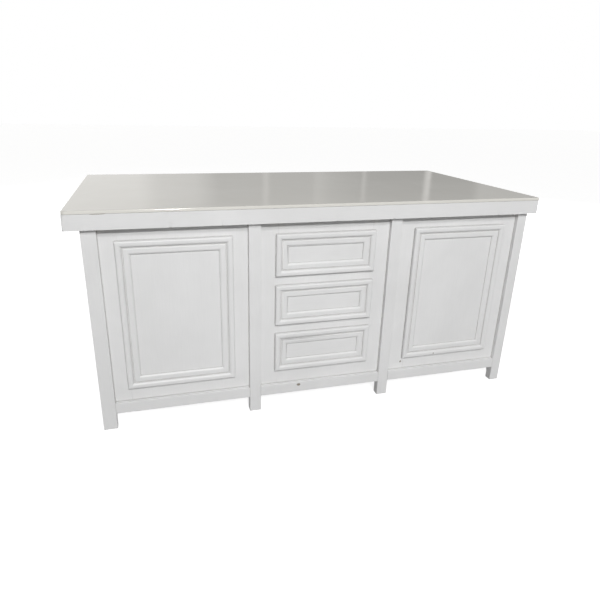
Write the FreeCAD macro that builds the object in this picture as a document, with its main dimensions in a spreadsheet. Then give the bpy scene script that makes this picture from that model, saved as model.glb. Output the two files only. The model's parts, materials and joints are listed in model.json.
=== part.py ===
"""Kitchen island unit: a thick worktop on a painted cabinet that stands on eight short feet, with
a moulded door on each side of three moulded drawers.

Millimetres.  The origin is on the floor under the middle of the worktop, X runs along the
island, the fronts face -Y and Z is up.
"""
import FreeCAD, Part
import math
import os
from types import SimpleNamespace

import Sketcher
from FreeCAD import Placement, Rotation, Vector

# Driving sizes -----------------------------------------------------------------------------

SIZES = [
    # worktop
    ("top_length", 2000.0, "worktop, end to end"),
    ("top_width", 1000.0, "worktop, front to back"),
    ("height", 930.0, "floor to worktop surface"),
    ("sheet_thick", 12.0, "top sheet"),
    ("sheet_round", 5.0, "rounding of its upper edge"),
    ("sheet_corner", 5.0, "rounding of its four corners"),
    ("fascia_height", 60.0, "board that thickens the worktop's edge"),
    ("fascia_thick", 22.0, "the same board, front to back"),
    ("seam_gap", 1.0, "dark line between sheet and fascia"),
    ("core_thick", 18.0, "board under the sheet"),
    ("batten_width", 45.0, "packing batten under the core"),
    # frame
    ("end_overhang", 43.0, "worktop beyond the cabinet's ends"),
    ("front_overhang", 22.0, "worktop beyond the posts"),
    ("cabinet_shift", 11.0, "cabinet's middle to the right of the worktop's"),
    ("left_corner_width", 56.0, "left corner legs, seen from the front"),
    ("right_corner_width", 46.0, "right corner legs, seen from the front"),
    ("corner_depth", 67.0, "corner leg, seen from the end"),
    ("leg_foot_depth", 38.0, "the same leg at the floor"),
    ("mid_width", 50.0, "posts between the bays"),
    ("field_recess", 18.0, "bay surface behind the posts"),
    ("board_thick", 16.0, "boards of the cabinet"),
    ("leg_clear", 71.0, "floor to bottom rail"),
    ("rail_height", 48.0, "bottom rail"),
    ("arris", 2.0, "rounding of posts and rails"),
    ("floor_thick", 18.0, "cabinet floor"),
    ("stretcher_width", 100.0, "flat rail under the worktop"),
    ("stretcher_thick", 18.0, "the same rail's thickness"),
    # fronts
    ("door_width", 448.0, "door, over its moulding"),
    ("drawer_width", 439.0, "drawer front, over its moulding"),
    ("left_door_outset", 3.0, "left door outward of the middle of its bay"),
    ("right_door_outset", 5.5, "right door outward of the middle of its bay"),
    ("front_top_margin", 52.0, "worktop underside to the top fronts"),
    ("door_bottom_margin", 58.0, "rail to the doors"),
    ("drawer_bottom_margin", 66.0, "rail to the lowest drawer front"),
    ("drawer_pitch_gap", 40.5, "between drawer fronts"),
    ("lip", 11.0, "moulding over the edge of its opening"),
    ("lip_gap", 2.5, "shadow gap behind the moulding"),
    ("door_gap", 4.0, "door panel inside its opening"),
    ("drawer_gap", 2.0, "drawer panel inside its opening"),
    # moulding section
    ("mould_width", 54.5, "moulding, outer edge to panel"),
    ("mould_height", 14.0, "moulding, back to crest"),
    ("thumb_round", 6.5, "outer rounding of the thumb"),
    ("thumb_flat", 13.0, "outer edge to the end of the thumb's flat"),
    ("thumb_width", 25.0, "outer edge to the groove"),
    ("quirk_width", 3.5, "groove inside the thumb"),
    ("quirk_level", 5.0, "groove floor above the back"),
    ("bead_height", 8.4, "inner bead, back to crest"),
    ("bead_rise", 4.0, "groove to the bead's crest"),
    ("bead_flat", 12.0, "flat along the bead's crest"),
    ("step_height", 2.4, "square edge at the panel"),
    # hinges
    ("pin_inset", 4.0, "hinge pin from the front's outer edge"),
    ("pin_stand", 5.5, "hinge pin in front of the bay surface"),
    ("pin_radius", 1.5, "hinge pin"),
    ("pin_fit", 0.06, "door knuckle on the pin, radial"),
    ("pin_press", 0.02, "frame knuckle on the pin, radial"),
    ("knuckle_radius", 3.5, "hinge knuckle"),
    ("knuckle_share", 15.5, "length of each frame knuckle"),
    ("knuckle_gap", 0.3, "between knuckles"),
    ("knuckle_room", 0.5, "notch around the knuckle"),
    ("leaf_thick", 1.5, "hinge leaf"),
    ("leaf_height", 50.0, "hinge, end to end"),
    ("frame_leaf_depth", 14.0, "leaf along the opening's edge"),
    ("door_leaf_depth", 11.0, "leaf along the panel's edge"),
    ("hinge_margin", 90.0, "hinge centre from the door's end"),
    # drawers
    ("runner_width", 12.7, "runner between box and cabinet"),
    ("runner_height", 45.0, "runner"),
    ("runner_length", 550.0, "runner, closed"),
    ("runner_back", 4.0, "runner behind the bay boards"),
    ("runner_sheet", 1.5, "steel of the runner"),
    ("runner_slip", 0.3, "between runner members"),
    ("runner_outer_depth", 9.5, "cabinet member, across"),
    ("runner_middle_inset", 3.8, "middle member from the partition"),
    ("runner_middle_depth", 7.2, "middle member, across"),
    ("runner_inner_depth", 5.7, "drawer member, across"),
    ("box_side", 12.0, "drawer side"),
    ("box_lift", 14.0, "drawer side above its opening's lower edge"),
    ("box_headroom", 24.0, "drawer side under its opening's upper edge"),
    ("box_length", 560.0, "drawer side, front to back"),
    ("box_bottom", 5.0, "drawer bottom"),
    ("bottom_lift", 10.0, "drawer bottom above the side's lower edge"),
    ("groove_depth", 6.0, "groove for the drawer bottom"),
    ("groove_fit", 0.1, "play of the bottom in its groove"),
    # latches
    ("latch_drop", 9.0, "latch axis under the opening's edge"),
    ("latch_edge", 40.0, "door latch from the opening's free edge"),
    ("latch_radius", 6.0, "latch barrel"),
    ("latch_length", 50.0, "latch barrel"),
    ("latch_plate", 4.0, "latch fixing plate"),
    ("latch_plate_width", 20.0, "latch fixing plate"),
    ("latch_plate_rise", 32.0, "plate above the axis"),
    ("plunger_radius", 3.0, "latch plunger"),
    ("plunger_length", 38.0, "latch plunger"),
    ("plunger_fit", 0.08, "plunger in its barrel, radial"),
    ("plunger_touch", 0.3, "plunger to the closed front"),
    # cupboards
    ("shelf_thick", 18.0, "shelf"),
    ("shelf_setback", 24.0, "shelf behind the bay boards"),
    ("shelf_play", 1.0, "shelf to the boards beside it"),
    ("peg_radius", 2.5, "shelf peg"),
    ("peg_depth", 9.0, "peg in its board"),
    ("peg_fit", 0.05, "peg in its hole, radial"),
    ("peg_reach", 12.0, "peg's tongue under the shelf"),
    ("peg_tongue", 3.0, "thickness of that tongue"),
    ("peg_inset", 70.0, "pegs from the shelf's ends"),
]

doc = FreeCAD.newDocument("kitchen_island")
sheet = doc.addObject("Spreadsheet::Sheet", "sizes")


class Size:
    """A length that carries the sheet formula it comes from beside its value."""

    def __init__(self, formula, value):
        self.formula = formula
        self.value = value

    def __add__(self, other):
        return Size("(%s + %s)" % (self.formula, formula(other)), self.value + value(other))

    def __sub__(self, other):
        return Size("(%s - %s)" % (self.formula, formula(other)), self.value - value(other))

    def __mul__(self, other):
        return Size("(%s * %s)" % (self.formula, formula(other)), self.value * value(other))

    def __truediv__(self, other):
        return Size("(%s / %s)" % (self.formula, formula(other)), self.value / value(other))

    def __radd__(self, other):
        return Size("(%s + %s)" % (formula(other), self.formula), value(other) + self.value)

    def __rsub__(self, other):
        return Size("(%s - %s)" % (formula(other), self.formula), value(other) - self.value)

    def __rmul__(self, other):
        return self * other

    def __neg__(self):
        return self * -1


def formula(size):
    return size.formula if isinstance(size, Size) else "(%r)" % float(size)


def value(size):
    return size.value if isinstance(size, Size) else float(size)


s = SimpleNamespace()
for row, (alias, number, note) in enumerate(SIZES, start=1):
    sheet.set("A%d" % row, note)
    sheet.set("B%d" % row, repr(number))
    sheet.setAlias("B%d" % row, alias)
    setattr(s, alias, Size("sizes.%s" % alias, number))
doc.recompute()

# Positions that several pieces share ---------------------------------------------------------

HALF_LENGTH = s.top_length / 2
HALF_WIDTH = s.top_width / 2
END_X = HALF_LENGTH - s.end_overhang                 # outer face of the end frames
POST_Y = HALF_WIDTH - s.front_overhang               # outer face of the posts, front and back
FIELD_Y = POST_Y - s.field_recess                    # surface of the bays
POST_DEPTH = s.field_recess + s.board_thick
INNER_Y = POST_Y - POST_DEPTH                        # inside of posts, rails and bay boards
INNER_X = END_X - POST_DEPTH                         # inside of the end frames
RAIL_TOP = s.leg_clear + s.rail_height
CABINET_TOP = s.height - s.sheet_thick - s.fascia_height
CARCASS_TOP = CABINET_TOP - s.stretcher_thick
CORNER_WIDTHS = {"left": s.left_corner_width, "right": s.right_corner_width}
MIDDLE_BAY = (END_X * 2 - s.left_corner_width * 2 - s.mid_width * 2) / 3
MID_POST_X = MIDDLE_BAY / 2 + s.mid_width / 2
BAYS = {                                             # space between the legs and posts
    "left": (-(END_X - s.left_corner_width), -(MID_POST_X + s.mid_width / 2)),
    "middle": (-MIDDLE_BAY / 2, MIDDLE_BAY / 2),
    "right": (MID_POST_X + s.mid_width / 2, END_X - s.right_corner_width),
}
BAY_CENTRES = {bay: (low + high) / 2 for bay, (low, high) in BAYS.items()}
DOOR_CENTRES = {"left": BAY_CENTRES["left"] - s.left_door_outset,
                "right": BAY_CENTRES["right"] + s.right_door_outset}
DOOR_OPENING = s.door_width - s.lip * 2
DRAWER_OPENING = s.drawer_width - s.lip * 2
FRONTS_TOP = CABINET_TOP - s.front_top_margin
DOOR_BOTTOM = RAIL_TOP + s.door_bottom_margin
DOOR_HEIGHT = FRONTS_TOP - DOOR_BOTTOM
DOOR_MIDDLE = (FRONTS_TOP + DOOR_BOTTOM) / 2
DRAWER_HEIGHT = (FRONTS_TOP - RAIL_TOP - s.drawer_bottom_margin - s.drawer_pitch_gap * 2) / 3
FRONT_BACK_Y = -(FIELD_Y + s.lip_gap)                # back of every moulding, face of every panel
PANEL_BACK_Y = FRONT_BACK_Y + s.board_thick
PARTITION_X = DRAWER_OPENING / 2                     # runner side of the partitions
DRAWERS = ("top", "middle", "bottom")

nodes = {}

# Helpers ---------------------------------------------------------------------------------------


def bind(thing, **sizes):
    """Ties properties to the sheet."""
    for name, size in sizes.items():
        thing.setExpression(name.replace("__", "."), formula(size))


def place(thing, x=0.0, y=0.0, z=0.0, rotation=None):
    """Puts a piece in its place, x from the cabinet's middle, and ties that place to the sheet."""
    x = x + s.cabinet_shift
    thing.Placement = Placement(Vector(value(x), value(y), value(z)), rotation or Rotation())
    bind(thing, Placement__Base__x=x, Placement__Base__y=y, Placement__Base__z=z)
    return thing


def node(name, thing):
    """Names a finished piece, which is then written under that name."""
    thing.Label = name
    nodes[name] = thing
    return thing


def board(name, x, y, z):
    """A flat board between two values along each axis."""
    box = doc.addObject("Part::Box", name)
    bind(box, Length=x[1] - x[0], Width=y[1] - y[0], Height=z[1] - z[0])
    return place(box, x[0], y[0], z[0])


def group(name, pieces):
    """Separate pieces of one kind, kept side by side under one name."""
    together = doc.addObject("Part::Compound", name)
    together.Links = pieces
    return node(name, together)


def cut(name, base, tool):
    result = doc.addObject("Part::Cut", name)
    result.Base = base
    result.Tool = tool
    return result


def both(low, high, sign):
    """The range low to high, or its mirror image for sign -1."""
    return (low, high) if sign > 0 else (-high, -low)


def body(name):
    return doc.addObject("PartDesign::Body", name)


def sketch(owner, plane, name, offset=None):
    """An empty sketch on one of the body's own planes."""
    made = owner.newObject("Sketcher::SketchObject", name)
    role = plane + "_Plane"
    made.AttachmentSupport = ([f for f in owner.Origin.OriginFeatures if f.Role == role][0], [""])
    made.MapMode = "FlatFace"
    if offset is not None:
        bind(made, AttachmentOffset__Base__z=offset)
    return made


def arc(start, end, radius, side):
    """The short arc from start to end; its centre lies left (side 1) or right (side -1)."""
    chord = end - start
    normal = Vector(-chord.y, chord.x, 0).normalize() * side
    rise = math.sqrt(max(radius ** 2 - (chord.Length / 2) ** 2, 0.0))
    centre = (start + end) / 2 + normal * rise
    first, last = (start, end) if side > 0 else (end, start)
    angles = [math.atan2(point.y - centre.y, point.x - centre.x) for point in (first, last)]
    return Part.ArcOfCircle(Part.Circle(centre, Vector(0, 0, 1), radius), *angles)


def outline(made, corners, arcs=None):
    """Draws a closed outline through sized corners; arcs maps an edge to (radius, side)."""
    arcs = arcs or {}
    count = len(corners)
    points = [Vector(value(x), value(y), 0) for x, y in corners]
    first = made.GeometryCount
    ends = []
    for index in range(count):
        start, end = points[index], points[(index + 1) % count]
        if index in arcs:
            radius, side = arcs[index]
            made.addGeometry(arc(start, end, value(radius), side), False)
            ends.append((1, 2) if side > 0 else (2, 1))
        else:
            made.addGeometry(Part.LineSegment(start, end), False)
            ends.append((1, 2))
    for index in range(count):
        after = (index + 1) % count
        made.addConstraint(Sketcher.Constraint(
            "Coincident", first + index, ends[index][1], first + after, ends[after][0]))
    for index, (x, y) in enumerate(corners):
        for kind, size in (("DistanceX", x), ("DistanceY", y)):
            number = made.addConstraint(Sketcher.Constraint(
                kind, -1, 1, first + index, ends[index][0], value(size)))
            made.setExpression("Constraints[%d]" % number, formula(size))
    for index, (radius, side) in arcs.items():
        number = made.addConstraint(Sketcher.Constraint("Radius", first + index, value(radius)))
        made.setExpression("Constraints[%d]" % number, formula(radius))
    return made


def rounded(corners, radius, chosen):
    """Corners and arcs of a square-cornered outline with the chosen corners rounded."""
    out, arcs = [], {}
    count = len(corners)
    for index, (x, y) in enumerate(corners):
        if index not in chosen:
            out.append((x, y))
            continue
        back, ahead = corners[index - 1], corners[(index + 1) % count]
        steps = []
        for other in (back, ahead):
            dx, dy = value(other[0]) - value(x), value(other[1]) - value(y)
            steps.append((round(dx / math.hypot(dx, dy)), round(dy / math.hypot(dx, dy))))
        (bx, by), (ax, ay) = steps
        turn = 1 if (-bx) * ay - (-by) * ax > 0 else -1
        arcs[len(out)] = (radius, turn)
        out.append((x + radius * bx, y + radius * by))
        out.append((x + radius * ax, y + radius * ay))
    return out, arcs


def circle(made, x, y, radius):
    index = made.GeometryCount
    made.addGeometry(Part.Circle(Vector(value(x), value(y), 0), Vector(0, 0, 1), value(radius)), False)
    for kind, size in (("DistanceX", x), ("DistanceY", y)):
        number = made.addConstraint(Sketcher.Constraint(kind, -1, 1, index, 3, value(size)))
        made.setExpression("Constraints[%d]" % number, formula(size))
    number = made.addConstraint(Sketcher.Constraint("Radius", index, value(radius)))
    made.setExpression("Constraints[%d]" % number, formula(radius))
    return made


def pad(owner, profile, length, symmetric=False, reverse=False):
    made = owner.newObject("PartDesign::Pad", owner.Name + "_pad")
    made.Profile = profile
    made.SideType = "Symmetric" if symmetric else "One side"
    made.Reversed = reverse
    bind(made, Length=length)
    return made


def pocket(owner, profile, depth, symmetric=False, reverse=False):
    made = owner.newObject("PartDesign::Pocket", owner.Name + "_pocket")
    made.Profile = profile
    made.SideType = "Symmetric" if symmetric else "One side"
    made.Reversed = reverse
    bind(made, Length=depth)
    return made


def fillet(owner, base, radius, wanted):
    """Rounds the edges of the last feature whose two ends pass the test."""
    doc.recompute()
    names = []
    for number, edge in enumerate(base.Shape.Edges, start=1):
        if wanted(edge):
            names.append("Edge%d" % number)
    made = owner.newObject("PartDesign::Fillet", owner.Name + "_fillet")
    made.Base = (base, names)
    bind(made, Radius=radius)
    return made


# Worktop ---------------------------------------------------------------------------------------

sheet_bottom = s.height - s.sheet_thick
slab = body("worktop_sheet")
plan = sketch(slab, "XY", "sheet_plan", sheet_bottom)
corners = [(-HALF_LENGTH, -HALF_WIDTH), (HALF_LENGTH, -HALF_WIDTH),
           (HALF_LENGTH, HALF_WIDTH), (-HALF_LENGTH, HALF_WIDTH)]
outline(plan, *rounded(corners, s.sheet_corner, (0, 1, 2, 3)))
raised = pad(slab, plan, s.sheet_thick)


def level_edge(height):
    return lambda edge: all(abs(v.Z - value(height)) < 1e-6 for v in edge.Vertexes)


fillet(slab, raised, s.sheet_round, level_edge(s.height))
node("worktop_sheet", slab)

core_y = HALF_WIDTH - s.fascia_thick
core_x = (-(HALF_LENGTH - s.fascia_thick) - s.cabinet_shift, HALF_LENGTH - s.fascia_thick - s.cabinet_shift)
core_bottom = sheet_bottom - s.core_thick
node("worktop_core", board("worktop_core", core_x, (-core_y, core_y), (core_bottom, sheet_bottom)))

batten_x = [-(END_X - s.batten_width / 2 - POST_DEPTH), -(PARTITION_X + s.board_thick / 2),
            PARTITION_X + s.board_thick / 2, END_X - s.batten_width / 2 - POST_DEPTH]
group("worktop_battens", [
    board("batten_%d" % index, (x - s.batten_width / 2, x + s.batten_width / 2), (-core_y, core_y),
          (CABINET_TOP, core_bottom))
    for index, x in enumerate(batten_x, start=1)])


def fascia(name, length, reach, turn):
    """Edge board with mitred ends, drawn along the front and turned to its side."""
    made = body(name)
    half = length / 2
    plan = sketch(made, "XY", name + "_plan")
    outline(plan, [(-half, -reach), (half, -reach),
                   (half - s.fascia_thick, -(reach - s.fascia_thick)),
                   (-(half - s.fascia_thick), -(reach - s.fascia_thick))])
    pad(made, plan, s.fascia_height - s.seam_gap)
    place(made, -s.cabinet_shift, z=CABINET_TOP, rotation=Rotation(Vector(0, 0, 1), turn))
    node(name, made)


fascia("fascia_front", s.top_length, HALF_WIDTH, 0)
fascia("fascia_right", s.top_width, HALF_LENGTH, 90)
fascia("fascia_back", s.top_length, HALF_WIDTH, 180)
fascia("fascia_left", s.top_width, HALF_LENGTH, 270)

# Legs, posts and rails ---------------------------------------------------------------------------


def corner_leg(name, width, sx, sy):
    """L-shaped leg: the end arm narrows towards the floor on its inner edge."""
    leg = body(name)
    plan = sketch(leg, "XY", name + "_plan")
    corners = [(END_X, POST_Y), (END_X - width, POST_Y), (END_X - width, INNER_Y),
               (INNER_X, INNER_Y), (INNER_X, POST_Y - s.corner_depth), (END_X, POST_Y - s.corner_depth)]
    corners = [(x * sx, y * sy) for x, y in corners]
    outline(plan, *rounded(corners, s.arris, (0, 1, 5)))
    pad(leg, plan, CABINET_TOP)
    side = sketch(leg, "YZ", name + "_taper")
    back = (POST_Y - s.corner_depth) * sy
    foot = (POST_Y - s.leg_foot_depth) * sy
    outline(side, [(back, Size("0", 0.0)), (foot, Size("0", 0.0)), (back, s.leg_clear)])
    pocket(leg, side, s.top_length, symmetric=True)
    return node(name, place(leg))


for side, sx in (("left", -1), ("right", 1)):
    for face, sy in (("front", -1), ("back", 1)):
        corner_leg("corner_leg_%s_%s" % (face, side), CORNER_WIDTHS[side], sx, sy)


def mid_post(name, x, sy):
    """Post between two bays, from the floor to the worktop."""
    post = body(name)
    plan = sketch(post, "XY", name + "_plan")
    half = s.mid_width / 2
    corners = [(half, POST_Y * sy), (-half, POST_Y * sy), (-half, INNER_Y * sy), (half, INNER_Y * sy)]
    outline(plan, *rounded(corners, s.arris, (0, 1)))
    pad(post, plan, CABINET_TOP)
    return place(post, x=x)


node("mid_post_front_left", mid_post("mid_post_front_left", -MID_POST_X, -1))
node("mid_post_front_right", mid_post("mid_post_front_right", MID_POST_X, -1))
group("mid_posts_back", [mid_post("mid_post_back_left", -MID_POST_X, 1),
                         mid_post("mid_post_back_right", MID_POST_X, 1)])


def rail(name, span, face, turn=0):
    """Bottom rail drawn along the front, face away from its middle, and turned to its side."""
    made = body(name)
    profile = sketch(made, "YZ", name + "_section")
    corners = [(-face, s.leg_clear), (-face, RAIL_TOP), (-(face - POST_DEPTH), RAIL_TOP),
               (-(face - POST_DEPTH), s.leg_clear)]
    outline(profile, *rounded(corners, s.arris, (0, 1)))
    pad(made, profile, span[1] - span[0], symmetric=True)
    return place(made, x=(span[0] + span[1]) / 2, rotation=Rotation(Vector(0, 0, 1), turn))


end_panel_y = POST_Y - s.corner_depth
group("bottom_rails_front", [rail("rail_front_" + bay, span, POST_Y) for bay, span in BAYS.items()])
group("bottom_rails_back", [rail("rail_back_" + bay, span, POST_Y, 180) for bay, span in BAYS.items()])
group("bottom_rails_ends", [rail("rail_right", (-end_panel_y, end_panel_y), END_X, 90),
                            rail("rail_left", (-end_panel_y, end_panel_y), END_X, 270)])

# Boards of the cabinet -----------------------------------------------------------------------------

FRAME_Y = (-FIELD_Y, -INNER_Y)                       # thickness range of the front boards


def face_frame(bay, centre, width, openings):
    """Boards around the openings of one bay: two uprights and the rails between them."""
    left, right = centre - width / 2, centre + width / 2
    pieces = [board("%s_frame_left" % bay, (BAYS[bay][0], left), FRAME_Y, (RAIL_TOP, CABINET_TOP)),
              board("%s_frame_right" % bay, (right, BAYS[bay][1]), FRAME_Y, (RAIL_TOP, CABINET_TOP))]
    levels = [CABINET_TOP]
    for low, high in openings:
        levels += [high, low]
    levels.append(RAIL_TOP)
    for index in range(0, len(levels), 2):
        pieces.append(board("%s_frame_rail_%d" % (bay, index), (left, right), FRAME_Y,
                            (levels[index + 1], levels[index])))
    group("face_frame_" + bay, pieces)


door_opening = (DOOR_BOTTOM + s.lip, FRONTS_TOP - s.lip)
drawer_tops = [FRONTS_TOP - (DRAWER_HEIGHT + s.drawer_pitch_gap) * index for index in range(3)]
drawer_openings = [(top - DRAWER_HEIGHT + s.lip, top - s.lip) for top in drawer_tops]
for side, centre in DOOR_CENTRES.items():
    face_frame(side, centre, DOOR_OPENING, [door_opening])
face_frame("middle", BAY_CENTRES["middle"], DRAWER_OPENING, drawer_openings)

group("back_panels", [
    board("back_panel_" + bay, span, (INNER_Y, FIELD_Y), (RAIL_TOP, CABINET_TOP))
    for bay, span in BAYS.items()])
for side, sign in (("left", -1), ("right", 1)):
    node("end_panel_" + side, board("end_panel_" + side, both(INNER_X, INNER_X + s.board_thick, sign),
                                    (-end_panel_y, end_panel_y), (RAIL_TOP, CABINET_TOP)))
node("cabinet_floor", board("cabinet_floor", (-INNER_X, INNER_X), (-INNER_Y, INNER_Y),
                            (RAIL_TOP - s.floor_thick, RAIL_TOP)))
group("top_stretchers", [
    board("stretcher_%s" % face, (-INNER_X, INNER_X), both(INNER_Y - s.stretcher_width, INNER_Y, sign),
          (CARCASS_TOP, CABINET_TOP))
    for face, sign in (("front", -1), ("back", 1))])

# Shelves on pegs -----------------------------------------------------------------------------------

shelf_bottom = (RAIL_TOP + CARCASS_TOP - s.shelf_thick) / 2
shelf_y = (-(INNER_Y - s.shelf_setback), INNER_Y - s.shelf_play)
peg_y = (shelf_y[0] + s.peg_inset, shelf_y[1] - s.peg_inset)
peg_z = shelf_bottom - s.peg_radius


def peg(name, x, y, towards):
    """Shelf peg: a round spigot in the board and a flat tongue under the shelf."""
    made = body(name)
    end = sketch(made, "YZ", name + "_spigot")
    circle(end, Size("0", 0.0), Size("0", 0.0), s.peg_radius)
    pad(made, end, s.peg_depth, reverse=True)
    tongue = sketch(made, "YZ", name + "_tongue")
    half = s.peg_radius * 2
    low = s.peg_radius - s.peg_tongue
    outline(tongue, [(-half, low), (half, low), (half, s.peg_radius), (-half, s.peg_radius)])
    pad(made, tongue, s.peg_reach)
    return place(made, x, y, peg_z, Rotation(Vector(0, 0, 1), 0 if towards > 0 else 180))


def drilled(name, base, x, into):
    """Bores the four peg holes' worth of this board: two blind holes from its cupboard side."""
    for index, y in enumerate(peg_y):
        hole = doc.addObject("Part::Cylinder", "%s_hole_%d" % (name, index))
        bind(hole, Radius=s.peg_radius + s.peg_fit, Height=s.peg_depth + s.peg_fit)
        place(hole, x, y, peg_z, Rotation(Vector(0, 1, 0), 90 if into > 0 else -90))
        base = cut("%s_bored_%d" % (name, index), base, hole)
    return base


pegs = []
for side, sign in (("left", -1), ("right", 1)):
    inner, outer = PARTITION_X + s.board_thick, INNER_X
    name = "partition_" + side
    upright = board(name + "_board", both(PARTITION_X, inner, sign), (-INNER_Y, INNER_Y), (RAIL_TOP, CARCASS_TOP))
    node(name, drilled(name, upright, inner * sign, -sign))
    nodes["end_panel_" + side].Label = "end_panel_%s_board" % side
    name = "end_panel_" + side
    node(name, drilled(name, nodes.pop(name), outer * sign, sign))
    node("shelf_" + side, board("shelf_" + side, both(inner + s.shelf_play, outer - s.shelf_play, sign),
                                shelf_y, (shelf_bottom, shelf_bottom + s.shelf_thick)))
    for index, y in enumerate(peg_y):
        pegs.append(peg("peg_%s_inner_%d" % (side, index), inner * sign, y, sign))
        pegs.append(peg("peg_%s_outer_%d" % (side, index), outer * sign, y, -sign))
group("shelf_pegs", pegs)

# Mouldings -------------------------------------------------------------------------------------------
# Section: across from the outer edge, up from the back.  A square outer edge rounds over into a
# flat thumb, which sweeps down to a quirk; a flat-topped bead rises from it and rounds down to a
# low square step on the panel.


def crown(run, fall):
    """Radius of an arc that leaves a level crest and falls so much in so long a run."""
    return (run * run + fall * fall) / (fall * 2)


bead_start = s.thumb_width + s.quirk_width
bead_crest = bead_start + s.bead_rise
bead_fall = bead_crest + s.bead_flat
ZERO = Size("0", 0.0)
SECTION = [
    (ZERO, ZERO),
    (ZERO, s.mould_height - s.thumb_round),
    (s.thumb_round, s.mould_height),
    (s.thumb_flat, s.mould_height),
    (s.thumb_width, s.quirk_level),
    (bead_start, s.quirk_level),
    (bead_crest, s.bead_height),
    (bead_fall, s.bead_height),
    (s.mould_width, s.step_height),
    (s.mould_width, ZERO),
]
SECTION_ARCS = {1: (s.thumb_round, -1),
                3: (crown(s.thumb_width - s.thumb_flat, s.mould_height - s.quirk_level), -1),
                5: (crown(s.bead_rise, s.bead_height - s.quirk_level), -1),
                7: (crown(s.mould_width - bead_fall, s.bead_height - s.step_height), -1)}


def moulding(name, length, x, z, turn, notches=()):
    """One mitred length, drawn along X with its outer edge below, then turned about the front."""
    made = body(name)
    section = sketch(made, "YZ", name + "_section")
    outline(section, SECTION, SECTION_ARCS)
    pad(made, section, length, symmetric=True)
    half = length / 2
    mitres = sketch(made, "XY", name + "_mitres")
    for sign in (-1, 1):
        outline(mitres, [(half * sign, ZERO), (half * sign, s.mould_width),
                         ((half - s.mould_width) * sign, s.mould_width)])
    pocket(made, mitres, s.mould_height, reverse=True)
    if notches:
        notch_half = s.leaf_height / 2 + s.knuckle_room
        barrel = sketch(made, "XY", name + "_knuckle_notches")
        recess = sketch(made, "XY", name + "_leaf_recesses")
        side = s.pin_inset + s.knuckle_radius + s.knuckle_room
        for centre in notches:
            low, high = centre - notch_half, centre + notch_half
            outline(barrel, [(low, ZERO), (high, ZERO), (high, side), (low, side)])
            outline(recess, [(low, side), (high, side), (high, s.lip + s.door_gap), (low, s.lip + s.door_gap)])
        pocket(made, barrel, s.pin_stand + s.knuckle_radius + s.knuckle_room - s.lip_gap, reverse=True)
        pocket(made, recess, s.leaf_thick, reverse=True)
    spin = Rotation(Vector(0, 1, 0), turn).multiply(Rotation(Vector(1, 0, 0), 90))
    return place(made, x, FRONT_BACK_Y, z, spin)


def moulding_frame(name, x, z, width, height, hinge_side=0):
    """Four mitred lengths around one front; the hinge side is notched for its hinges."""
    half_x, half_z = width / 2, height / 2
    hinge_at = half_z - s.hinge_margin
    sides = []
    for label, sign, turn in (("left", -1, 90), ("right", 1, 270)):
        notches = (-hinge_at, hinge_at) if sign == hinge_side else ()
        sides.append(moulding("%s_%s" % (name, label), height, x + half_x * sign, z, turn, notches))
    group(name, [
        moulding(name + "_lower", width, x, z - half_z, 0),
        moulding(name + "_upper", width, x, z + half_z, 180),
    ] + sides)


# Doors and hinges ---------------------------------------------------------------------------------------
# Each hinge is drawn about its pin: across is towards the door's middle, up is into the cabinet.

LEAF_LIP = s.lip - s.pin_inset                       # opening's edge, from the pin
FIELD_DEPTH = s.pin_stand                            # bay surface, from the pin
BACK_DEPTH = s.pin_stand - s.lip_gap                 # back of the moulding, from the pin
KNUCKLE_SPAN = s.leaf_height - s.knuckle_share * 2


def hinge_half(name, leaf_corners, knuckle_corners, bore, middle):
    """A cranked leaf with its knuckles: the middle one, or the two at the ends."""
    made = body(name)
    leaf = sketch(made, "XY", name + "_leaf")
    outline(leaf, leaf_corners)
    pad(made, leaf, s.leaf_height, symmetric=True)
    if middle:
        spans = [(ZERO, KNUCKLE_SPAN - s.knuckle_gap * 2)]
    else:
        offset = (s.leaf_height - s.knuckle_share) / 2
        spans = [(-offset, s.knuckle_share), (offset, s.knuckle_share)]
    for index, (centre, length) in enumerate(spans):
        neck = sketch(made, "XY", "%s_neck_%d" % (name, index), centre)
        outline(neck, knuckle_corners)
        pad(made, neck, length, symmetric=True)
        barrel = sketch(made, "XY", "%s_barrel_%d" % (name, index), centre)
        circle(barrel, ZERO, ZERO, s.knuckle_radius)
        pad(made, barrel, length, symmetric=True)
    hole = sketch(made, "XY", name + "_bore")
    circle(hole, ZERO, ZERO, bore)
    pocket(made, hole, s.leaf_height, symmetric=True)
    return made


def frame_leaf(name):
    inner = LEAF_LIP + s.leaf_thick
    toe = -s.pin_radius
    deep = FIELD_DEPTH + s.frame_leaf_depth
    front = FIELD_DEPTH - s.leaf_thick
    corners = [(toe, front), (inner, front), (inner, deep), (LEAF_LIP, deep), (LEAF_LIP, FIELD_DEPTH),
               (toe, FIELD_DEPTH)]
    neck = [(-s.pin_radius, ZERO), (s.pin_radius, ZERO), (s.pin_radius, FIELD_DEPTH), (-s.pin_radius, FIELD_DEPTH)]
    return hinge_half(name, corners, neck, s.pin_radius + s.pin_press, False)


def door_leaf(name):
    edge = LEAF_LIP + s.door_gap
    near = s.knuckle_radius + s.knuckle_room / 2 + s.knuckle_gap / 4
    front = BACK_DEPTH - s.leaf_thick
    deep = FIELD_DEPTH + s.door_leaf_depth
    corners = [(near, front), (edge, front), (edge, deep), (edge - s.leaf_thick, deep),
               (edge - s.leaf_thick, BACK_DEPTH), (near, BACK_DEPTH)]
    neck = [(s.pin_radius, front), (near + s.leaf_thick, front), (near + s.leaf_thick, BACK_DEPTH),
            (s.pin_radius, BACK_DEPTH)]
    return hinge_half(name, corners, neck, s.pin_radius + s.pin_fit, True)


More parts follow.
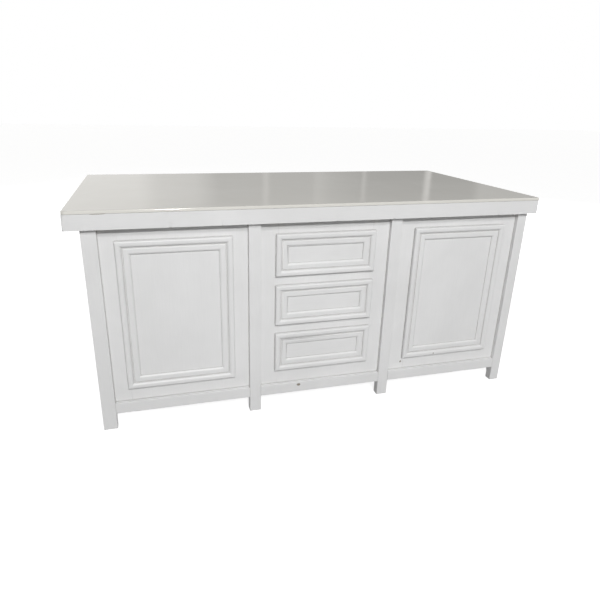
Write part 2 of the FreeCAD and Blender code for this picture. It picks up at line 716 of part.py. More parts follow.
frame_leaves, pins = [], []
for bay, sign in (("left", -1), ("right", 1)):
    centre = DOOR_CENTRES[bay]
    pin_x = centre + (s.door_width / 2 - s.pin_inset) * sign
    pin_y = -(FIELD_Y + s.pin_stand)
    turned = Rotation() if sign < 0 else Rotation(Vector(0, 1, 0), 180)
    door_leaves = []
    for level in (-1, 1):
        z = DOOR_MIDDLE + (DOOR_HEIGHT / 2 - s.hinge_margin) * level
        tag = "%s_hinge_%s" % (bay, "upper" if level > 0 else "lower")
        frame_leaves.append(place(frame_leaf(tag + "_frame"), pin_x, pin_y, z, turned))
        door_leaves.append(place(door_leaf(tag + "_door"), pin_x, pin_y, z, turned))
        pin = doc.addObject("Part::Cylinder", tag + "_pin")
        bind(pin, Radius=s.pin_radius, Height=s.leaf_height)
        pins.append(place(pin, pin_x, pin_y, z - s.leaf_height / 2))
    group(bay + "_door_hinge_leaves", door_leaves)
    half_panel = DOOR_OPENING / 2 - s.door_gap
    low, high = door_opening
    node(bay + "_door_panel", board(bay + "_door_panel", (centre - half_panel, centre + half_panel),
                                    (FRONT_BACK_Y, PANEL_BACK_Y), (low + s.door_gap, high - s.door_gap)))
    moulding_frame(bay + "_door_moulding", centre, DOOR_MIDDLE, s.door_width, DOOR_HEIGHT, sign)
group("hinge_frame_leaves", frame_leaves)
group("hinge_pins", pins)

# Drawers and runners ---------------------------------------------------------------------------------------

BOX_X = PARTITION_X - s.runner_width
BOX_Y = (PANEL_BACK_Y, PANEL_BACK_Y + s.box_length)
GROOVE_X = BOX_X - s.box_side + s.groove_depth
RUNNER_Y = -INNER_Y + s.runner_back


def channel(name, sign, near, far, half, z):
    """Steel channel between two distances from the partition, its web at the near side (or far,
    where far is the smaller), lying along the drawer."""
    made = body(name)
    profile = sketch(made, "XZ", name + "_section")
    web = near + s.runner_sheet if value(far) > value(near) else near - s.runner_sheet
    inside = half - s.runner_sheet
    points = [(near, -half), (far, -half), (far, -inside), (web, -inside),
              (web, inside), (far, inside), (far, half), (near, half)]
    outline(profile, [((PARTITION_X - across) * sign, up) for across, up in points])
    pad(made, profile, s.runner_length, reverse=True)
    return place(made, y=RUNNER_Y, z=z)


cabinet_members = []
nest = s.runner_sheet + s.runner_slip
half_outer = s.runner_height / 2
for index, name in enumerate(DRAWERS):
    low, high = drawer_openings[index]
    base, box_top = low + s.box_lift, high - s.box_headroom
    floor_z = base + s.bottom_lift
    prefix = name + "_drawer"

    panel = board(prefix + "_panel", (-(PARTITION_X - s.drawer_gap), PARTITION_X - s.drawer_gap),
                  (FRONT_BACK_Y, PANEL_BACK_Y), (low + s.drawer_gap, high - s.drawer_gap))
    groove_z = (floor_z - s.groove_fit, floor_z + s.box_bottom + s.groove_fit)
    trench = board(prefix + "_front_groove", (-(GROOVE_X + s.groove_fit), GROOVE_X + s.groove_fit),
                   (PANEL_BACK_Y - s.groove_depth - s.groove_fit, PANEL_BACK_Y), groove_z)
    node(prefix + "_front", cut(prefix + "_front", panel, trench))
    moulding_frame(prefix + "_moulding", ZERO, (low + high) / 2, s.drawer_width, DRAWER_HEIGHT)

    pieces = []
    for label, sign in (("left", -1), ("right", 1)):
        side = board("%s_side_%s" % (prefix, label), both(BOX_X - s.box_side, BOX_X, sign), BOX_Y,
                     (base, box_top))
        trench = board("%s_groove_%s" % (prefix, label),
                       both(BOX_X - s.box_side, GROOVE_X + s.groove_fit, sign), BOX_Y, groove_z)
        pieces.append(cut("%s_grooved_%s" % (prefix, label), side, trench))
    inner_x = BOX_X - s.box_side
    pieces.append(board(prefix + "_back", (-inner_x, inner_x), (BOX_Y[1] - s.box_side, BOX_Y[1]),
                        (groove_z[1], box_top)))
    pieces.append(board(prefix + "_bottom", (-GROOVE_X, GROOVE_X), (BOX_Y[0] - s.groove_depth, BOX_Y[1]),
                        (floor_z, floor_z + s.box_bottom)))
    group(prefix + "_box", pieces)

    # Three members a side: the outer on the partition, the inner on the drawer, one between.
    box_z = (base + box_top) / 2
    sliders, drawer_rails = [], []
    for label, sign in (("left", -1), ("right", 1)):
        cabinet_members.append(channel("%s_runner_outer_%s" % (prefix, label), sign, ZERO,
                                       s.runner_outer_depth, half_outer, box_z))
        sliders.append(channel("%s_runner_middle_%s" % (prefix, label), sign, s.runner_middle_inset,
                               s.runner_middle_inset + s.runner_middle_depth, half_outer - nest, box_z))
        drawer_rails.append(channel("%s_runner_inner_%s" % (prefix, label), sign, s.runner_width,
                                    s.runner_width - s.runner_inner_depth, half_outer - nest * 2, box_z))
    group(prefix + "_runner_sliders", sliders)
    group(prefix + "_runner_rails", drawer_rails)
group("runner_cabinet_members", cabinet_members)

# Push latches -----------------------------------------------------------------------------------------------


def latch_housing(name, x, z):
    """Fixing plate on the back of the frame rail with a closed barrel behind it."""
    made = body(name)
    plate = sketch(made, "XZ", name + "_plate")
    half = s.latch_plate_width / 2
    outline(plate, [(-half, -s.latch_radius), (half, -s.latch_radius), (half, s.latch_plate_rise),
                    (-half, s.latch_plate_rise)])
    pad(made, plate, s.latch_plate, reverse=True)
    barrel = sketch(made, "XZ", name + "_barrel")
    circle(barrel, ZERO, ZERO, s.latch_radius)
    pad(made, barrel, s.latch_length, reverse=True)
    hole = sketch(made, "XZ", name + "_bore")
    circle(hole, ZERO, ZERO, s.plunger_radius + s.plunger_fit)
    pocket(made, hole, s.latch_length - s.latch_plate, reverse=False)
    return place(made, x, -INNER_Y, z)


latch_places = {
    "left_door": (DOOR_CENTRES["left"] + DOOR_OPENING / 2 - s.latch_edge, door_opening[1]),
    "right_door": (DOOR_CENTRES["right"] - (DOOR_OPENING / 2 - s.latch_edge), door_opening[1]),
}
for index, name in enumerate(DRAWERS):
    latch_places[name + "_drawer"] = (ZERO, drawer_openings[index][1])
housings = []
for name, (x, edge) in latch_places.items():
    z = edge - s.latch_drop
    housings.append(latch_housing(name + "_latch_housing", x, z))
    plunger = body(name + "_latch_plunger")
    tip = sketch(plunger, "XZ", name + "_plunger_end")
    circle(tip, ZERO, ZERO, s.plunger_radius)
    pad(plunger, tip, s.plunger_length, reverse=True)
    node(name + "_latch_plunger", place(plunger, x, PANEL_BACK_Y + s.plunger_touch, z))
group("latch_housings", housings)

# Check and write ----------------------------------------------------------------------------------------------

doc.recompute()
for thing in doc.Objects:
    if "Invalid" in thing.State or "Error" in thing.State:
        raise RuntimeError("%s did not build: %s" % (thing.Label, thing.State))
os.makedirs("parts", exist_ok=True)
for name, thing in nodes.items():
    shape = thing.Shape
    if shape.isNull() or not shape.isValid() or not shape.Solids:
        raise RuntimeError("%s has no valid solid" % name)
    shape.exportStep("parts/%s.step" % name)
    print("%-28s %2d solids %10.1f cm3" % (name, len(shape.Solids), shape.Volume / 1000))
print("%d nodes" % len(nodes))
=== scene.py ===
# %% [markdown]
# # A painted kitchen island
#
# The real object is a joiner's piece: a thick pale worktop on a cabinet of painted boards, with a
# moulded door on each side and three moulded drawers between them.  The boards, joints, hinges
# and runners come ready made from the CAD model, so this file is about how they look: soft
# painted edges, brush marks, the gloss of the top, small knocks, and light that shows them.
#
# Everything is in metres.  The fronts face -Y, X runs along the island and Z is up.

# %% Load the CAD model as a fixed frame
import json
import math

import bmesh
import bpy
from mathutils import Matrix, Vector


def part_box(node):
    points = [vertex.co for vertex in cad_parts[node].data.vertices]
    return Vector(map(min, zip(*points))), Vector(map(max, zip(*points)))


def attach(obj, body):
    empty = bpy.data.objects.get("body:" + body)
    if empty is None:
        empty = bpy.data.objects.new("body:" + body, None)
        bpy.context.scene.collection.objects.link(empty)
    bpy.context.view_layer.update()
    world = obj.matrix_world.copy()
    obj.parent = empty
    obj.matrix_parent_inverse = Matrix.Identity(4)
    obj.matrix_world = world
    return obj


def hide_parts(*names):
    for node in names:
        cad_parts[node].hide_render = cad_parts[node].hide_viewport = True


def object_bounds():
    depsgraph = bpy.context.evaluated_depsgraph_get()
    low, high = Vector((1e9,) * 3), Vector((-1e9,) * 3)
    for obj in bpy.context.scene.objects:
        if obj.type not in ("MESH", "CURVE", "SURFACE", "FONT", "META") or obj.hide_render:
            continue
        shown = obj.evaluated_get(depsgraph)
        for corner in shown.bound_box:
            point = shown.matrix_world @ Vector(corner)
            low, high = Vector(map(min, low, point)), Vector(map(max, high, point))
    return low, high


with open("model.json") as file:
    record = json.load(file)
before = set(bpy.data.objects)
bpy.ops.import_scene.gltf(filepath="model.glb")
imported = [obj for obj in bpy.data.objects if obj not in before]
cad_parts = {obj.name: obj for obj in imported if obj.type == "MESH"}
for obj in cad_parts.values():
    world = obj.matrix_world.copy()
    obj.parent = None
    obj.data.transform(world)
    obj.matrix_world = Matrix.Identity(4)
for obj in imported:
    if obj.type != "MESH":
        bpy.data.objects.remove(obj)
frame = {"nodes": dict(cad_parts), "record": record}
nodes = frame["nodes"]
cad_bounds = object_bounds()

# %% [markdown]
# ## The camera
#
# The island is seen from the left of its middle and from above, with a fairly wide lens: the long
# front shrinks to the right.  The numbers below were found by fitting a pinhole camera to the
# corners of the worktop, the posts and the rails, so the model can be laid over the picture.  A
# lens shift stands for the small offset of the picture's centre.

# %% Place the camera
PICTURE = 600                       # pixels, both ways
FOCAL_PIXELS = 510.757
CENTRE_PIXELS = (289.883, 295.8)
CAMERA_PLACE = Vector((-0.6931, -2.4254, 1.2971))
YAW, PITCH, ROLL = 0.2726, 0.3580, -0.0222

camera_data = bpy.data.cameras.new("camera")
camera_data.sensor_width = 36
camera_data.lens = FOCAL_PIXELS / PICTURE * camera_data.sensor_width
camera_data.shift_x = (PICTURE / 2 - CENTRE_PIXELS[0]) / PICTURE
camera_data.shift_y = (CENTRE_PIXELS[1] - PICTURE / 2) / PICTURE
camera_data.clip_end = 100
camera = bpy.data.objects.new("camera", camera_data)
camera.matrix_world = (
    Matrix.Translation(CAMERA_PLACE)
    @ Matrix.Rotation(-YAW, 4, "Z")
    @ Matrix.Rotation(math.pi / 2 - PITCH, 4, "X")
    @ Matrix.Rotation(-ROLL, 4, "Z")
)
bpy.context.scene.collection.objects.link(camera)
bpy.context.scene.camera = camera
bpy.context.scene.view_settings.view_transform = "Standard"
print("camera: lens %.2f mm" % camera_data.lens)

# %% [markdown]
# ## Shader maths in plain Python
#
# A procedural finish is a small sum: so much grain, minus a worn patch, times a tone.  Blender
# stores such a sum as a web of nodes.  A short class lets ordinary operators add those nodes, so
# `1 - mask` or `grain * 0.3` reads like the sum it is.

# %% A value in a material, and the material that holds it


class Value:
    """One output of one node; Python's operators add Math nodes after it."""

    def __init__(self, web, socket):
        self.web = web
        self.socket = socket

    def maths(self, operation, *values):
        return self.web.node("Math", dict(enumerate(values)), operation=operation)

    def __add__(self, other):
        return self.maths("ADD", self, other)

    def __sub__(self, other):
        return self.maths("SUBTRACT", self, other)

    def __mul__(self, other):
        return self.maths("MULTIPLY", self, other)

    def __rsub__(self, other):
        return self.maths("SUBTRACT", other, self)

    def __lt__(self, other):
        return self.maths("LESS_THAN", self, other)

    __radd__ = __add__
    __rmul__ = __mul__

    def spread(self, low, high, to=(0.0, 1.0)):
        """Maps low..high to 0..1 (or to another range), smoothly, and stops there."""
        return self.web.node(
            "MapRange",
            {"Value": self, "From Min": low, "From Max": high, "To Min": to[0], "To Max": to[1]},
            interpolation_type="SMOOTHSTEP")


class Web:
    """A web of shader nodes under construction."""

    def __init__(self, tree):
        self.tree = tree

    def node(self, kind, inputs=None, output=0, stops=None, **settings):
        """Adds one node: its settings first, then the values or links of its sockets."""
        made = self.tree.nodes.new("ShaderNode" + kind)
        for key, value in settings.items():
            setattr(made, key, value)
        if stops:
            ramp = made.color_ramp
            while len(ramp.elements) < len(stops):
                ramp.elements.new(0.5)
            for element, (position, colour) in zip(ramp.elements, stops):
                element.position = position
                element.color = (*colour, 1.0)
        for key, value in (inputs or {}).items():
            if isinstance(value, Value):
                self.tree.links.new(value.socket, made.inputs[key])
            else:
                made.inputs[key].default_value = value
        return Value(self, made.outputs[output])

    def mix(self, factor, low, high):
        """From one colour to another."""
        low, high = [c if isinstance(c, Value) else (*c, 1.0) for c in (low, high)]
        return self.node("Mix", {0: factor, 6: low, 7: high}, output=2, data_type="RGBA")


class Finish(Web):
    """A material, with patterns that stay fixed to the object."""

    def __init__(self, name, **surface):
        self.material = bpy.data.materials.new(name)
        self.material.use_nodes = True
        super().__init__(self.material.node_tree)
        self.surface = self.tree.nodes["Principled BSDF"]
        for key, value in surface.items():
            self.surface.inputs[key.replace("_", " ")].default_value = value

    def place(self, scale=(1, 1, 1)):
        """The point on the object, in metres, stretched for a pattern."""
        here = self.node("TexCoord", output="Object")
        return self.node("Mapping", {"Vector": here, "Scale": scale})

    def axis(self, name):
        """One coordinate of that point."""
        here = self.node("TexCoord", output="Object")
        return self.node("SeparateXYZ", {"Vector": here}, output=name)

    def noise(self, scale, detail=3.0, roughness=0.55, stretch=(1, 1, 1), warp=0.0):
        """A cloudy pattern from 0 to 1, with about so many blots a metre."""
        return self.node("TexNoise", {"Vector": self.place(stretch), "Scale": scale,
                                      "Detail": detail, "Roughness": roughness, "Distortion": warp})

    def bump(self, height, distance, strength):
        """Relief of so many metres, which only light can see."""
        return self.node("Bump", {"Height": height, "Distance": distance, "Strength": strength})

    def use(self, **values):
        """Feeds values to the surface and gives back the finished material."""
        for key, value in values.items():
            self.tree.links.new(value.socket, self.surface.inputs[key.replace("_", " ")])
        return self.material


print("shader helpers ready")

# %% [markdown]
# ## Painted wood
#
# The cabinet is brushed with a satin white over primer.  Close up such paint shows brush marks
# along each board, a slight orange-peel, and places where it is a little thinner and greyer.  The
# same recipe serves every painted board; only the direction of the brush changes.  A uniform
# white would look like plastic, so the tone, the roughness and the height all vary a little.
#
# Two more layers lie on top.  Where surfaces meet the colour darkens as painted shade, found by
# ambient occlusion: it measures how much of the space round a point is open.  And in a few places
# on the fronts the paint is chipped down to the primer; each chip is an oval with a ragged edge.

# %% Paint, brushed along X, Y or Z
ALONG = {"x": (1, 28, 28), "y": (28, 1, 28), "z": (28, 28, 1)}
PAINT_LIGHT = (0.800, 0.800, 0.800)
PAINT_SHADE = (0.735, 0.735, 0.733)
PAINT_RELIEF, PAINT_STRENGTH = 0.0004, 0.35
# painted shade: the colour, reach and strength of the darkening where surfaces meet
CREVICE_SHADE = (0.34, 0.33, 0.31)
SHADE_REACH, SHADE_MOST = 0.007, 0.6
PRIMER = (0.27, 0.24, 0.20)
FRONT_ZONE = -0.44                  # chips are only in front of this, in Y
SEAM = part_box("fascia_front")[1][2]
# x, z, half width and half height of each chip in the paint of the fronts
CHIPS = ((-0.8755, SEAM, 0.0285, 0.0018), (-0.0987, 0.1062, 0.0090, 0.0065),
         (0.413, 0.154, 0.0045, 0.0055), (0.577, 0.188, 0.0035, 0.0030))


def painted(name, along, light=PAINT_LIGHT, shade=PAINT_SHADE, roughness=(0.36, 0.52), grain=1.0):
    """Satin paint with its brush marks along one axis."""
    paint = Finish(name, IOR=1.46)
    marks = paint.noise(14, detail=5, roughness=0.62, stretch=ALONG[along])
    cloud = paint.noise(3.2, detail=3)
    peel = paint.noise(900, detail=2)
    tone = (marks * 0.3 + cloud * 0.7).spread(0.3, 0.72)
    colour = paint.mix(tone, shade, light)
    # painted shade: darker where ambient occlusion finds the space round a point closed in
    space = paint.node("AmbientOcclusion", {"Distance": SHADE_REACH}, output="AO", samples=8)
    colour = paint.mix(space.spread(0.90, 0.45, (0, SHADE_MOST)), colour, CREVICE_SHADE)
    ragged = paint.noise(260, detail=3)
    front = paint.axis("Y") < FRONT_ZONE
    for x, z, width, height in CHIPS:
        across = (paint.axis("X") - x) * (1 / width)
        up = (paint.axis("Z") - z) * (1 / height)
        chip = (across * across + up * up + ragged).spread(1.6, 1.2) * front
        colour = paint.mix(chip, colour, PRIMER)
    height = marks * (0.7 * grain) + peel * 0.12
    return paint.use(
        Base_Color=colour,
        Roughness=(marks * 0.5 + cloud * 0.5).spread(0.25, 0.75, roughness),
        Normal=paint.bump(height, PAINT_RELIEF, PAINT_STRENGTH))


paint = {along: painted("paint_" + along, along) for along in "xyz"}
print("paints:", ", ".join(m.name for m in paint.values()))

# %% [markdown]
# ## The worktop
#
# The top sheet is polished and very slightly wavy, which draws out reflections in long streaks.
# Its own colour is a warmer white than the cabinet's, and it is set greyer still as painted shade,
# which offsets the light the lamps behind throw on the top.  A gloss with low roughness does the
# rest; the waviness is a bump with waves a hand wide, far too shallow to model.

# %% Gloss for the top sheet
# the sheet's own warm white, set greyer as painted shade on the top
SHADED_TOP_DARK = (0.705, 0.690, 0.642)
SHADED_TOP_PALE = (0.760, 0.745, 0.702)
gloss = Finish("worktop_gloss", IOR=1.49)
cloud = gloss.noise(1.6, detail=4)
waves = gloss.noise(5, detail=2, stretch=(1.6, 0.25, 1))
fine = gloss.noise(420, detail=2)
smears = gloss.noise(9, detail=5, roughness=0.65, stretch=(1, 0.4, 1))
worktop_gloss = gloss.use(
    Base_Color=gloss.mix(cloud.spread(0.3, 0.7), SHADED_TOP_DARK, SHADED_TOP_PALE),
    Roughness=smears.spread(0.35, 0.75, (0.05, 0.12)),
    Normal=gloss.bump(waves + fine * 0.002, 0.004, 0.12))
print("material:", worktop_gloss.name)

# %% [markdown]
# ## Bare timber, steel and plastic
#
# The drawers are birch ply under clear lacquer, the packing under the worktop is raw board, the
# runners and hinges are zinc-plated steel and the latches are moulded plastic.

# %% The remaining finishes


def timber(name, along, light, dark, roughness):
    """Wood with its grain along one axis, and darker pores in it."""
    wood = Finish(name, Roughness=roughness)
    rings = wood.noise(9, detail=4, stretch=ALONG[along], warp=0.6)
    pores = wood.noise(60, detail=3, stretch=ALONG[along])
    colour = wood.mix(rings.spread(0.3, 0.7), dark, light)
    colour = wood.mix(pores.spread(0.58, 0.72) * 0.35, colour, tuple(c * 0.6 for c in dark))
    return wood.use(Base_Color=colour, Normal=wood.bump(rings * 0.5 + pores * 0.5, 0.0006, 0.5))


birch = timber("birch_ply", "y", (0.66, 0.50, 0.32), (0.52, 0.37, 0.21), 0.38)
bare = timber("bare_board", "x", (0.50, 0.36, 0.22), (0.36, 0.24, 0.13), 0.75)
inner = painted("inner_board", "y", light=(0.74, 0.735, 0.715), shade=(0.69, 0.685, 0.665),
                roughness=(0.40, 0.50), grain=0.4)

zinc = Finish("zinc_plate", Metallic=1.0)
drawn = zinc.noise(30, detail=4, stretch=(30, 1, 30))
bloom = zinc.noise(26, detail=3)
steel = zinc.use(
    Base_Color=zinc.mix(bloom.spread(0.3, 0.7), (0.52, 0.53, 0.54), (0.66, 0.66, 0.65)),
    Roughness=(drawn * 0.6 + bloom * 0.4).spread(0.3, 0.7, (0.28, 0.46)),
    Normal=zinc.bump(drawn, 0.0002, 0.4))

moulded = Finish("latch_plastic")
grit = moulded.noise(1500, detail=2)
plastic = moulded.use(
    Base_Color=moulded.mix(
        moulded.noise(40).spread(0.3, 0.7), (0.50, 0.50, 0.49), (0.56, 0.56, 0.55)),
    Roughness=grit.spread(0.3, 0.7, (0.42, 0.55)),
    Normal=moulded.bump(grit, 0.0002, 0.4))
print("materials:", len(bpy.data.materials))

# %% Give every CAD piece its finish
FINISHES = {
    "worktop_sheet": worktop_gloss, "worktop_core": bare, "worktop_battens": bare,
    "shelf_pegs": steel, "hinge_frame_leaves": steel, "hinge_pins": steel,
    "left_door_hinge_leaves": steel, "right_door_hinge_leaves": steel,
    "runner_cabinet_members": steel, "latch_housings": plastic,
}


def finish_for(name):
    """The finish of a node, by its name."""
    if name in FINISHES:
        return FINISHES[name]
    if "runner" in name:
        return steel
    if "plunger" in name:
        return plastic
    if name.endswith("_box"):
        return birch
    if name.startswith(("partition", "cabinet_floor", "shelf", "top_stretchers")):
        return inner
    if name in ("fascia_left", "fascia_right", "bottom_rails_ends"):
        return paint["y"]
    if name.startswith(("fascia", "bottom_rails")) or "drawer_front" in name:
        return paint["x"]
    return paint["z"]


for name, piece in nodes.items():
    piece.data.materials.clear()
    piece.data.materials.append(finish_for(name))
print("finishes given to", len(nodes), "nodes")

# %% [markdown]
# ## Softened edges
#
# A CAD edge is perfectly sharp, and a painted one never is: sanding and three coats leave it
# round, and the round catches a thin line of light that tells the eye how thick the board is.
# So each painted board gets a copy of its CAD mesh with its hard edges bevelled by a fraction of a
# millimetre.  The CAD mesh is loose triangles, so the copy is merged and its flat faces joined
# first; then only true edges are left to bevel.  Narrow faces, which are the bevels and the
# strips of a curved moulding, are shaded smooth, and broad ones stay flat.

# %% A copy of a CAD piece with eased edges
bodies = frame["record"]["behaviour"]["bodies"]
BODY_OF = {name: body for body, names in bodies.items() for name in names}
WELD = 1e-5                         # points nearer than this are one
BEVEL_STEPS = 2
FLAT = math.radians(0.5)            # faces nearer to one plane than this are joined
HARD = math.radians(28)             # edges sharper than this are bevelled
CREASE = math.radians(40)           # and sharper than this stay a crease
NARROW = 0.0022                     # faces narrower than this are part of a curve


def eased(name, radius, shape=None):
    """Stands a softened copy of a CAD piece in its place; shape may change the copy first."""
    work = bmesh.new()
    work.from_mesh(nodes[name].data)
    bmesh.ops.remove_doubles(work, verts=work.verts, dist=WELD)
    bmesh.ops.dissolve_limit(work, angle_limit=FLAT, verts=work.verts, edges=work.edges)
    if shape:
        shape(work)
        bmesh.ops.remove_doubles(work, verts=work.verts, dist=WELD)
        bmesh.ops.dissolve_degenerate(work, dist=WELD, edges=work.edges)
    if radius:
        hard = [edge for edge in work.edges if edge.is_manifold and edge.calc_face_angle() > HARD]
        bmesh.ops.bevel(work, geom=hard, offset=radius, offset_type="OFFSET", affect="EDGES",
                        segments=BEVEL_STEPS, profile=0.5, material=-1, clamp_overlap=True)
        bmesh.ops.dissolve_degenerate(work, dist=WELD / 10, edges=work.edges)
    for face in work.faces:
        face.smooth = 2 * face.calc_area() < NARROW * face.calc_perimeter()
    for edge in work.edges:
        edge.smooth = not edge.is_manifold or edge.calc_face_angle() < CREASE
    mesh = bpy.data.meshes.new(name + "_eased")
    work.to_mesh(mesh)
    work.free()
    mesh.materials.append(finish_for(name))
    piece = bpy.data.objects.new(name + "_eased", mesh)
    bpy.context.scene.collection.objects.link(piece)
    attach(piece, BODY_OF[name])
    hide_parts(name)


# %% Ease the painted boards
EASE_BOARD, EASE_THIN = 0.0007, 0.0004
BOARDS = ("corner_leg", "mid_post", "bottom_rails", "end_panel", "back_panels")
BOARD_ENDINGS = ("door_panel", "drawer_front")
boards = [name for name in nodes if name.startswith(BOARDS) or name.endswith(BOARD_ENDINGS)]
thin = [name for name in nodes if name.startswith("face_frame")]
mouldings = [name for name in nodes if name.endswith("_moulding")]
for name in boards:
    eased(name, EASE_BOARD)
for name in thin:
    eased(name, EASE_THIN)
for name in mouldings:
    eased(name, 0)                  # their curves are modelled; they only need smooth shading
print("eased:", len(boards) + len(thin) + len(mouldings), "pieces")

# %% [markdown]
# ## The worktop's edge
#
# The thick edge is what hands, hips and trays meet, so it is the most worn part.  Its corners are
# rounded, more at the top than at the bottom and most at the front left, and the lower edge has a
# few small knocks.  The corner is made by pushing every point in the corner's square onto an arc;
# a few cuts near the ends give that arc its points.  A knock is one point of the edge pushed in,
# between two more cuts.

# %% Round the corners and knock the lower edge
LENGTH_HALF, WIDTH_HALF = cad_bounds[1][0], cad_bounds[1][1]
EDGE_LOW, EDGE_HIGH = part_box("fascia_front")[0][2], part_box("worktop_sheet")[1][2]
CORNER_LOW, CORNER_HIGH, CORNER_WORN = 0.004, 0.008, 0.026      # radii
CORNER_TAPER = 3                    # power of the height by which the radius grows
CORNER_CUTS = (0.026, 0.019, 0.013, 0.008, 0.004, 0.002)       # from each end
HEIGHT_CUTS = (0.3, 0.5, 0.65, 0.8, 0.9)                       # shares of the edge's height
# place in X and depth of each knock
KNOCKS = ((-0.623, 0.0022), (-0.429, 0.0016), (0.039, 0.0018), (0.293, 0.0022), (0.798, 0.0018))


def slice_at(work, place, normal):
    """Cuts the faces along a plane, and leaves both sides."""
    bmesh.ops.bisect_plane(work, geom=work.verts[:] + work.edges[:] + work.faces[:], dist=WELD,
                           plane_co=place, plane_no=normal)


def round_corners(work):
    """Rounds the worktop's outline, by a radius that grows with height."""
    for inset in CORNER_CUTS:
        for sign in (-1, 1):
            slice_at(work, (sign * (LENGTH_HALF - inset), 0, 0), (1, 0, 0))
            slice_at(work, (0, sign * (WIDTH_HALF - inset), 0), (0, 1, 0))
    for share in HEIGHT_CUTS:
        slice_at(work, (0, 0, EDGE_LOW + (EDGE_HIGH - EDGE_LOW) * share), (0, 0, 1))
    for vert in work.verts:
        share = (vert.co.z - EDGE_LOW) / (EDGE_HIGH - EDGE_LOW)
        high = CORNER_WORN if vert.co.x < 0 and vert.co.y < 0 else CORNER_HIGH
        radius = CORNER_LOW + (high - CORNER_LOW) * share ** CORNER_TAPER
        centre = Vector((LENGTH_HALF - radius, WIDTH_HALF - radius))
        across = Vector((abs(vert.co.x), abs(vert.co.y))) - centre
        if min(across) > 0 and across.length > radius:
            place = centre + across * (radius / across.length)
            vert.co.x = math.copysign(place.x, vert.co.x)
            vert.co.y = math.copysign(place.y, vert.co.y)


def knock(work):
    """Small dents along the front board's lower edge."""
    for place, depth in KNOCKS:
        for offset in (-2.5, 0, 3.5):
            slice_at(work, (place + offset * depth, 0, 0), (1, 0, 0))
        for vert in work.verts:
            here = abs(vert.co.x - place) < WELD and vert.co.z < EDGE_LOW + WELD
            if here and vert.co.y < -WIDTH_HALF + WELD:
                vert.co += Vector((0, depth * 0.8, depth))


def worn_front(work):
    """The front board has both kinds of wear."""
    round_corners(work)
    knock(work)


for name in ("fascia_left", "fascia_right", "fascia_back"):
    eased(name, EASE_BOARD, shape=round_corners)
eased("fascia_front", EASE_BOARD, shape=worn_front)
eased("worktop_sheet", EASE_THIN, shape=round_corners)
print("worktop edge: corners", CORNER_LOW, "to", CORNER_WORN, "m,", len(KNOCKS), "knocks")

# %% [markdown]
# ## The studio
#
# Two soft lamps stand in front, one above the other.  They put the thin double shadow under the
# worktop and the fine lines in the mouldings.  Two low ones behind light the back and the ends,
# and a dim world fills the rest.  The floor is plain and pale; it and the backdrop look white to
# the camera, while the floor still takes the island's shadow.
#
# The polished top shows what lies behind the island: bright on the left and darker towards the
# right, with a few bright uprights.  So for reflections alone the world changes with direction.

# %% The floor
FLOOR_LEVEL = -0.0005               # just under the feet
FLOOR_HALF = 30
FLOOR_TONE = (0.33, 0.33, 0.33, 1)
FLOOR_GLOW = 0.88                   # what lifts it to white, for the camera and reflections alone

bed = bmesh.new()
bmesh.ops.create_grid(bed, x_segments=1, y_segments=1, size=FLOOR_HALF,
                      matrix=Matrix.Translation((0, 0, FLOOR_LEVEL)))
floor_mesh = bpy.data.meshes.new("floor")
bed.to_mesh(floor_mesh)
bed.free()
floor = bpy.data.objects.new("floor", floor_mesh)
bpy.context.scene.collection.objects.link(floor)
ground = Finish("floor_white", Base_Color=FLOOR_TONE, Roughness=0.9)
ray = ground.node("LightPath", output="Is Camera Ray")
shine = ground.node("LightPath", output="Is Glossy Ray")
glow = ground.node("Emission", {"Color": (1, 1, 1, 1), "Strength": FLOOR_GLOW})
nothing = ground.node("Emission", {"Color": (0, 0, 0, 1), "Strength": 0.0})
lift = ground.node("MixShader", {0: ray + shine, 1: nothing, 2: glow})
total = ground.node("AddShader", {0: Value(ground, ground.surface.outputs[0]), 1: lift})
ground.tree.links.new(total.socket, ground.tree.nodes["Material Output"].inputs["Surface"])
floor_mesh.materials.append(ground.material)
print("floor at", FLOOR_LEVEL, "m")

# %% The world
WORLD_LEVEL = 0.08
FIRST, LAST = -10, 70               # degrees to the right of straight behind
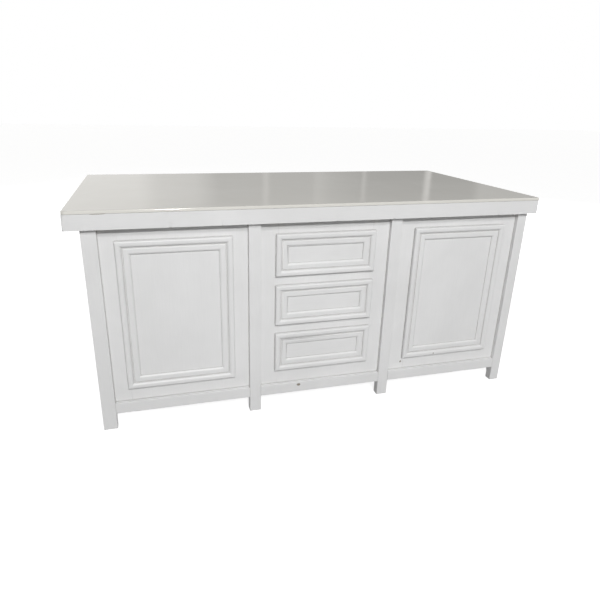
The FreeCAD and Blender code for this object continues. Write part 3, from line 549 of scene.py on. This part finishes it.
# degrees and brightness of the room in the polished top
ROOM = ((-10, 1.10), (-1, 1.05), (1, 0.86), (5, 0.78), (7.5, 0.56), (12.2, 0.56), (12.7, 0.74),
        (13.2, 0.55), (17.8, 0.54), (18.3, 0.63), (20, 0.52), (23.2, 0.43), (23.5, 0.66),
        (23.8, 0.41), (29.8, 0.39), (30.2, 0.98), (30.6, 0.39), (34.8, 0.40), (35.6, 0.54),
        (42, 0.48), (60, 1.0))
ROOM_TINT = (1.0, 0.985, 0.955)
world = bpy.data.worlds.new("studio")
world.use_nodes = True
bpy.context.scene.world = world
sky = Web(world.node_tree)
ray = sky.node("LightPath", output="Is Camera Ray")
shine = sky.node("LightPath", output="Is Glossy Ray")
towards_x, towards_y = [
    sky.node("SeparateXYZ", {"Vector": sky.node("TexCoord", output="Generated")}, output=name)
    for name in "XY"]
bearing = towards_x.maths("ARCTAN2", towards_x, towards_y)      # radians to the right of +Y
across = sky.node("MapRange", {
    "Value": bearing, "From Min": math.radians(FIRST), "From Max": math.radians(LAST)})
seen = sky.node("ValToRGB", {"Fac": across}, stops=[
    ((degrees - FIRST) / (LAST - FIRST), tuple(level * part for part in ROOM_TINT))
    for degrees, level in ROOM])
light = sky.mix(shine, (WORLD_LEVEL,) * 3, seen)
light = sky.mix(ray, light, (1, 1, 1))
sky.tree.links.new(light.socket, sky.tree.nodes["Background"].inputs["Color"])
print("world:", len(ROOM), "steps of brightness in reflections")

# %% The lamps
LAMP_DISTANCE, LAMP_SIZE = 7.0, 0.7
LAMP_TARGET = Vector((0.0, -0.5, 0.6))
# name, light on a surface that faces it, degrees over the horizon, degrees round to the right
LAMPS = (("low", 0.57, 31, -4), ("high", 0.27, 42, -4),
         ("left", 0.50, 7, -135), ("right", 0.50, 7, 135))
for name, level, height, turn in LAMPS:
    data = bpy.data.lights.new(name, "AREA")
    data.shape = "DISK"
    data.size = LAMP_SIZE
    data.energy = math.pi * math.pi * level * LAMP_DISTANCE ** 2
    lamp = bpy.data.objects.new(name, data)
    rise = math.radians(height)
    ahead = Vector((0, -math.cos(rise), math.sin(rise)))
    towards = Matrix.Rotation(math.radians(turn), 3, "Z") @ ahead
    lamp.location = LAMP_TARGET + towards * LAMP_DISTANCE
    lamp.rotation_euler = (-towards).to_track_quat("-Z", "Y").to_euler()
    lamp.visible_glossy = abs(turn) < 90            # the top mirrors the room, not those behind
    bpy.context.scene.collection.objects.link(lamp)
    print("%s lamp: %.0f W" % (name, data.energy))

# %% Measure and finish
print("CAD box", [[round(v, 4) for v in corner] for corner in cad_bounds])
